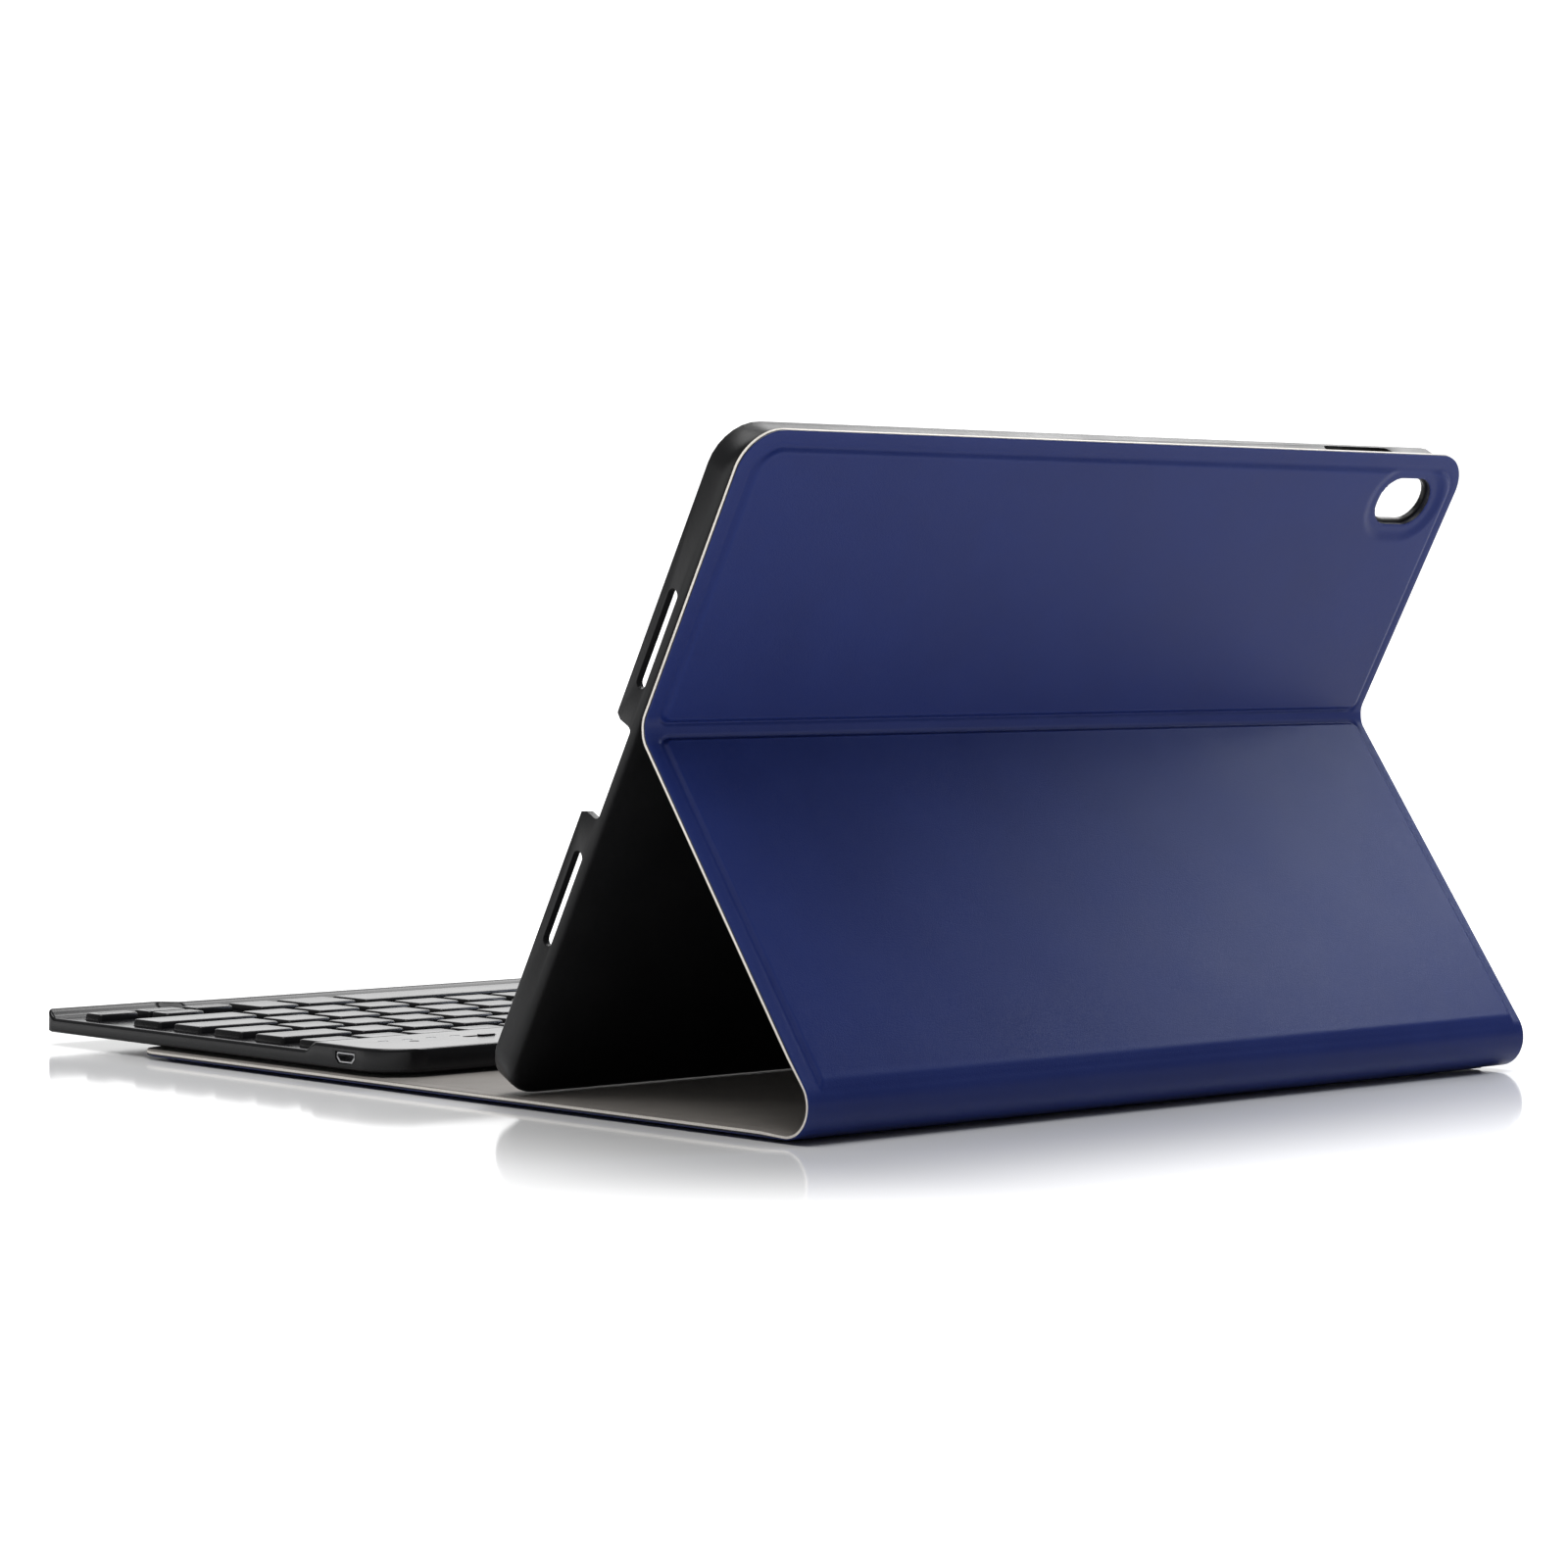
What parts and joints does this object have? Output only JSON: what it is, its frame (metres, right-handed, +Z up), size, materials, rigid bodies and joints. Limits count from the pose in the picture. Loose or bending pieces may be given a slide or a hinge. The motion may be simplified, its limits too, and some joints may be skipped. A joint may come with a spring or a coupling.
{
  "type": "tablet keyboard case",
  "caption": "Folio stand case for a landscape tablet: leather cover with folding stand flap, hard tray shell with cut-outs and a lift-off keyboard.",
  "frame": {"origin": "centre of the bounding box on the table plane, in the standing pose", "axes": "+X to the user's right when typing, +Y away from the user, +Z up"},
  "size_m": [0.2548, 0.3104, 0.1618],
  "materials": {
    "blue_leather": "fine-grained navy polyurethane leather, satin",
    "greyboard": "pressed grey paperboard stiffener, matt",
    "microfibre": "warm light-grey microfibre lining, matt",
    "black_shell": "black polycarbonate, soft matt with fine spark texture",
    "black_deck": "black ABS, satin",
    "black_key": "black ABS key caps, satin tops",
    "steel": "thin rolled steel sheet",
    "magnet": "nickel-plated magnet bar",
    "membrane": "translucent polyester switch sheet",
    "board_green": "green glass-fibre circuit board",
    "battery_foil": "silver pouch-cell foil",
    "clear_plastic": "clear acrylic light guide",
    "foot_rubber": "black rubber foot"
  },
  "bodies": {
    "front_cover": {"front_cover_leather": "blue_leather", "front_cover_board": "greyboard", "front_cover_lining": "microfibre", "cover_plate_right": "steel", "cover_plate_left": "steel", "spine_root_strip": "blue_leather"},
    "spine_lower": {"spine_lower_strip": "blue_leather"},
    "spine_upper": {"spine_upper_strip": "blue_leather"},
    "stand_flap": {"stand_flap_leather": "blue_leather", "stand_flap_board": "greyboard", "stand_flap_lining": "microfibre", "spine_flap_strip": "blue_leather"},
    "crease": {"crease_strip": "blue_leather"},
    "shell": {"tablet_shell": "black_shell", "upper_back_leather": "blue_leather", "upper_back_board": "greyboard", "shell_bonding_sheet": "microfibre"},
    "keyboard": {"keyboard_top_frame": "black_deck", "keyboard_bottom_case": "black_shell", "key_support_plate": "steel", "switch_membrane": "membrane", "circuit_board": "board_green", "battery": "battery_foil", "keyboard_magnet_right": "magnet", "keyboard_magnet_left": "magnet", "micro_socket": "steel", "indicator_light_guide": "clear_plastic", "rubber_foot_rear_right": "foot_rubber", "rubber_foot_rear_left": "foot_rubber", "rubber_foot_front_right": "foot_rubber", "rubber_foot_front_left": "foot_rubber"},
    "power_switch": {"power_switch": "black_key"},
    "pairing_button": {"pairing_button": "black_key"},
    "function_row_keys": {"function_row_keys": "black_key"},
    "number_row_keys": {"number_row_keys": "black_key"},
    "backspace_key": {"backspace_key": "black_key"},
    "upper_letter_keys": {"upper_letter_keys": "black_key"},
    "tab_key": {"tab_key": "black_key"},
    "home_letter_keys": {"home_letter_keys": "black_key"},
    "enter_key": {"enter_key": "black_key"},
    "caps_lock_key": {"caps_lock_key": "black_key"},
    "lower_letter_keys": {"lower_letter_keys": "black_key"},
    "right_shift_key": {"right_shift_key": "black_key"},
    "left_shift_key": {"left_shift_key": "black_key"},
    "right_arrow_key": {"right_arrow_key": "black_key"},
    "down_arrow_key": {"down_arrow_key": "black_key"},
    "up_arrow_key": {"up_arrow_key": "black_key"},
    "left_arrow_key": {"left_arrow_key": "black_key"},
    "right_option_key": {"right_option_key": "black_key"},
    "right_command_key": {"right_command_key": "black_key"},
    "space_bar": {"space_bar": "black_key"},
    "left_command_key": {"left_command_key": "black_key"},
    "left_option_key": {"left_option_key": "black_key"},
    "control_key": {"control_key": "black_key"},
    "globe_key": {"globe_key": "black_key"}
  },
  "joints": [
    {"name": "spine_lower_hinge", "type": "hinge", "parent": "front_cover", "child": "spine_lower", "pos_m": [0, 0.15017, 0.00132], "axis": [-1, 0, 0], "range_deg": [0, 41.84]},
    {"name": "spine_middle_hinge", "type": "hinge", "parent": "spine_lower", "child": "spine_upper", "pos_m": [0, 0.15438, 0.00509], "axis": [-1, 0, 0], "range_deg": [0, 41.84]},
    {"name": "spine_flap_hinge", "type": "hinge", "parent": "spine_upper", "child": "stand_flap", "pos_m": [0, 0.155, 0.01069], "axis": [-1, 0, 0], "range_deg": [0, 41.84]},
    {"name": "crease_lower_hinge", "type": "hinge", "parent": "stand_flap", "child": "crease", "pos_m": [0, 0.09809, 0.08871], "axis": [1, 0, 0], "range_deg": [0, 32.2]},
    {"name": "crease_upper_hinge", "type": "hinge", "parent": "crease", "child": "shell", "pos_m": [0, 0.09781, 0.0934], "axis": [1, 0, 0], "range_deg": [0, 32.2]},
    {"name": "keyboard_lift", "type": "slide", "parent": "front_cover", "child": "keyboard", "axis": [0, 0, 1], "range_m": [0, 0.06]},
    {"name": "power_switch_slide", "type": "slide", "parent": "keyboard", "child": "power_switch", "axis": [1, 0, 0], "range_m": [0, 0.0044]},
    {"name": "pairing_button_press", "type": "slide", "parent": "keyboard", "child": "pairing_button", "axis": [0, 0, -1], "range_m": [0, 0.0005], "stiffness_N_per_m": 900},
    {"name": "function_row_key_press", "type": "slide", "parent": "keyboard", "child": "function_row_keys", "axis": [0, 0, -1], "range_m": [0, 0.0011], "stiffness_N_per_m": 6000},
    {"name": "number_row_key_press", "type": "slide", "parent": "keyboard", "child": "number_row_keys", "axis": [0, 0, -1], "range_m": [0, 0.0011], "stiffness_N_per_m": 6000},
    {"name": "backspace_key_press", "type": "slide", "parent": "keyboard", "child": "backspace_key", "axis": [0, 0, -1], "range_m": [0, 0.0011], "stiffness_N_per_m": 600},
    {"name": "upper_letter_key_press", "type": "slide", "parent": "keyboard", "child": "upper_letter_keys", "axis": [0, 0, -1], "range_m": [0, 0.0011], "stiffness_N_per_m": 6000},
    {"name": "tab_key_press", "type": "slide", "parent": "keyboard", "child": "tab_key", "axis": [0, 0, -1], "range_m": [0, 0.0011], "stiffness_N_per_m": 600},
    {"name": "home_letter_key_press", "type": "slide", "parent": "keyboard", "child": "home_letter_keys", "axis": [0, 0, -1], "range_m": [0, 0.0011], "stiffness_N_per_m": 6000},
    {"name": "enter_key_press", "type": "slide", "parent": "keyboard", "child": "enter_key", "axis": [0, 0, -1], "range_m": [0, 0.0011], "stiffness_N_per_m": 600},
    {"name": "caps_lock_key_press", "type": "slide", "parent": "keyboard", "child": "caps_lock_key", "axis": [0, 0, -1], "range_m": [0, 0.0011], "stiffness_N_per_m": 600},
    {"name": "lower_letter_key_press", "type": "slide", "parent": "keyboard", "child": "lower_letter_keys", "axis": [0, 0, -1], "range_m": [0, 0.0011], "stiffness_N_per_m": 6000},
    {"name": "right_shift_key_press", "type": "slide", "parent": "keyboard", "child": "right_shift_key", "axis": [0, 0, -1], "range_m": [0, 0.0011], "stiffness_N_per_m": 600},
    {"name": "left_shift_key_press", "type": "slide", "parent": "keyboard", "child": "left_shift_key", "axis": [0, 0, -1], "range_m": [0, 0.0011], "stiffness_N_per_m": 600},
    {"name": "right_arrow_key_press", "type": "slide", "parent": "keyboard", "child": "right_arrow_key", "axis": [0, 0, -1], "range_m": [0, 0.0011], "stiffness_N_per_m": 600},
    {"name": "down_arrow_key_press", "type": "slide", "parent": "keyboard", "child": "down_arrow_key", "axis": [0, 0, -1], "range_m": [0, 0.0011], "stiffness_N_per_m": 600},
    {"name": "up_arrow_key_press", "type": "slide", "parent": "keyboard", "child": "up_arrow_key", "axis": [0, 0, -1], "range_m": [0, 0.0011], "stiffness_N_per_m": 600},
    {"name": "left_arrow_key_press", "type": "slide", "parent": "keyboard", "child": "left_arrow_key", "axis": [0, 0, -1], "range_m": [0, 0.0011], "stiffness_N_per_m": 600},
    {"name": "right_option_key_press", "type": "slide", "parent": "keyboard", "child": "right_option_key", "axis": [0, 0, -1], "range_m": [0, 0.0011], "stiffness_N_per_m": 600},
    {"name": "right_command_key_press", "type": "slide", "parent": "keyboard", "child": "right_command_key", "axis": [0, 0, -1], "range_m": [0, 0.0011], "stiffness_N_per_m": 600},
    {"name": "space_bar_press", "type": "slide", "parent": "keyboard", "child": "space_bar", "axis": [0, 0, -1], "range_m": [0, 0.0011], "stiffness_N_per_m": 900},
    {"name": "left_command_key_press", "type": "slide", "parent": "keyboard", "child": "left_command_key", "axis": [0, 0, -1], "range_m": [0, 0.0011], "stiffness_N_per_m": 600},
    {"name": "left_option_key_press", "type": "slide", "parent": "keyboard", "child": "left_option_key", "axis": [0, 0, -1], "range_m": [0, 0.0011], "stiffness_N_per_m": 600},
    {"name": "control_key_press", "type": "slide", "parent": "keyboard", "child": "control_key", "axis": [0, 0, -1], "range_m": [0, 0.0011], "stiffness_N_per_m": 600},
    {"name": "globe_key_press", "type": "slide", "parent": "keyboard", "child": "globe_key", "axis": [0, 0, -1], "range_m": [0, 0.0011], "stiffness_N_per_m": 600}
  ],
  "couplings": [
    {"joint": "spine_middle_hinge", "follows": "spine_lower_hinge", "ratio": 1},
    {"joint": "spine_flap_hinge", "follows": "spine_lower_hinge", "ratio": 1},
    {"joint": "crease_lower_hinge", "follows": "spine_lower_hinge", "ratio": 0.76942},
    {"joint": "crease_upper_hinge", "follows": "spine_lower_hinge", "ratio": 0.76942}
  ]
}
